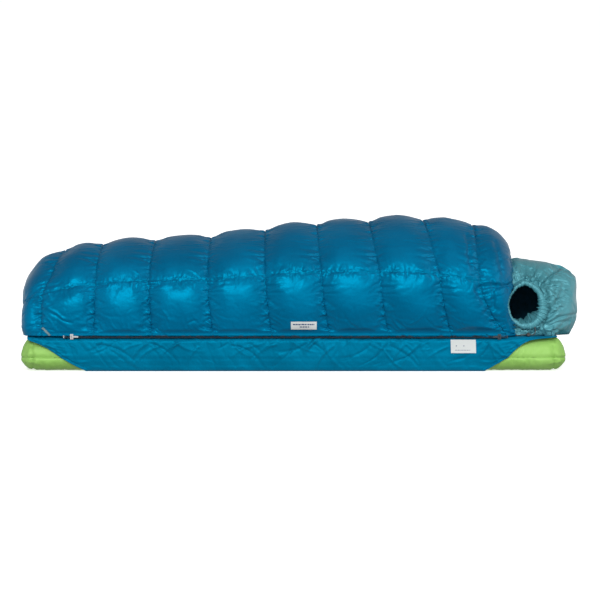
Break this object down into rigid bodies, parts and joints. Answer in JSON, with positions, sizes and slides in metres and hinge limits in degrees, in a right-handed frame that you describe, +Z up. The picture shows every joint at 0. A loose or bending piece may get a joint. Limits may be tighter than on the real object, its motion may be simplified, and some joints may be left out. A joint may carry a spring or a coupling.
{
  "type": "quilted sleeping bag with pad",
  "caption": "Hooded quilted down sleeping bag whose fabric sleeve holds an inflatable pad, with a side zip, side-facing hood opening and drawcord.",
  "frame": {"origin": "on the ground, under the middle of the whole object", "axes": "+X towards the hood, -Y towards the zip side, +Z up"},
  "size_m": [1.877, 0.598, 0.5118],
  "materials": {
    "blue_shell": "satin, lightly calendered woven nylon",
    "teal_shell": "satin woven nylon",
    "sleeve_fabric": "satin woven nylon",
    "lining": "matt woven nylon",
    "down": "loose down clusters",
    "pad_fabric": "coated woven fabric, low sheen",
    "zip_tape": "matt woven tape",
    "zip_coil": "matt nylon coil",
    "zip_metal": "satin nickel",
    "spring_steel": "bright wire",
    "black_plastic": "fine matt moulded",
    "label": "matt printed ribbon",
    "webbing": "matt woven webbing",
    "cord": "braided elastic cord"
  },
  "bodies": {
    "sleeve_base": {"sleeve": "sleeve_fabric", "sleeve_hem_foot": "sleeve_fabric", "sleeve_hem_head": "sleeve_fabric", "footbox_shell": "blue_shell", "footbox_down": "down", "footbox_lining": "lining", "shoulder_shell": "blue_shell", "shoulder_down": "down", "shoulder_lining": "lining", "hood_shell": "teal_shell", "hood_down": "down", "hood_lining": "lining", "hood_floor": "teal_shell", "face_rim": "teal_shell", "drawcord": "cord", "drawcord_knot": "cord", "lower_zip_tape": "zip_tape", "lower_zip_coil": "zip_coil", "foot_zip_tape": "zip_tape", "foot_zip_coil": "zip_coil", "head_zip_tape": "zip_tape", "head_zip_coil": "zip_coil", "zip_foot_stop": "zip_metal", "zip_head_stop": "zip_metal", "care_label": "label", "foot_tab": "webbing"},
    "quilt_top": {"top_shell": "blue_shell", "top_lining": "lining", "chamber_down_1": "down", "chamber_down_2": "down", "chamber_down_3": "down", "chamber_down_4": "down", "chamber_down_5": "down", "chamber_down_6": "down", "chamber_down_7": "down", "upper_zip_tape": "zip_tape", "upper_zip_coil": "zip_coil", "draft_tube": "lining", "side_label": "label"},
    "foot_slider": {"foot_slider": "zip_metal", "foot_pull_pin": "zip_metal"},
    "foot_pull": {"foot_pull": "zip_metal"},
    "head_slider": {"head_slider": "zip_metal", "head_pull_pin": "zip_metal"},
    "head_pull": {"head_pull": "zip_metal"},
    "cord_lock": {"cord_lock_barrel": "black_plastic", "cord_lock_spring": "spring_steel"},
    "lock_plunger": {"cord_lock_plunger": "black_plastic"},
    "pad": {"pad_top_skin": "pad_fabric", "pad_bottom_skin": "pad_fabric", "pad_inner_wall_1": "pad_fabric", "pad_inner_wall_2": "pad_fabric", "pad_inner_wall_3": "pad_fabric", "pad_inner_wall_4": "pad_fabric", "valve_body": "black_plastic", "valve_flap": "black_plastic"},
    "valve_cap": {"valve_cap": "black_plastic"}
  },
  "joints": [
    {"name": "top_lift", "type": "hinge", "parent": "sleeve_base", "child": "quilt_top", "pos_m": [0, 0.257, 0.118], "axis": [-1, 0, 0], "range_deg": [0, 40]},
    {"name": "foot_slider_travel", "type": "slide", "parent": "sleeve_base", "child": "foot_slider", "axis": [1, 0, 0], "range_m": [0, 0.6]},
    {"name": "foot_pull_swing", "type": "hinge", "parent": "foot_slider", "child": "foot_pull", "pos_m": [-0.765, -0.2684, 0.1172], "axis": [0, 0, -1], "range_deg": [0, 175]},
    {"name": "head_slider_travel", "type": "slide", "parent": "sleeve_base", "child": "head_slider", "axis": [-1, 0, 0], "range_m": [0, 0.74]},
    {"name": "head_pull_swing", "type": "hinge", "parent": "head_slider", "child": "head_pull", "pos_m": [0.665, -0.2684, 0.1172], "axis": [0, 0, 1], "range_deg": [0, 175]},
    {"name": "cord_lock_slide", "type": "slide", "parent": "sleeve_base", "child": "cord_lock", "axis": [-1, 0, 0], "range_m": [0, 0.018]},
    {"name": "plunger_press", "type": "slide", "parent": "cord_lock", "child": "lock_plunger", "axis": [0, 1, 0], "range_m": [0, 0.003], "stiffness_N_per_m": 800, "springref_m": -0.002, "deforming": ["cord_lock_spring"]},
    {"name": "pad_slide", "type": "slide", "parent": "sleeve_base", "child": "pad", "axis": [1, 0, 0], "range_m": [0, 1.85]},
    {"name": "valve_cap_swing", "type": "hinge", "parent": "pad", "child": "valve_cap", "pos_m": [0.83, 0.188, 0.1235], "axis": [0, 1, 0], "range_deg": [0, 150]}
  ]
}
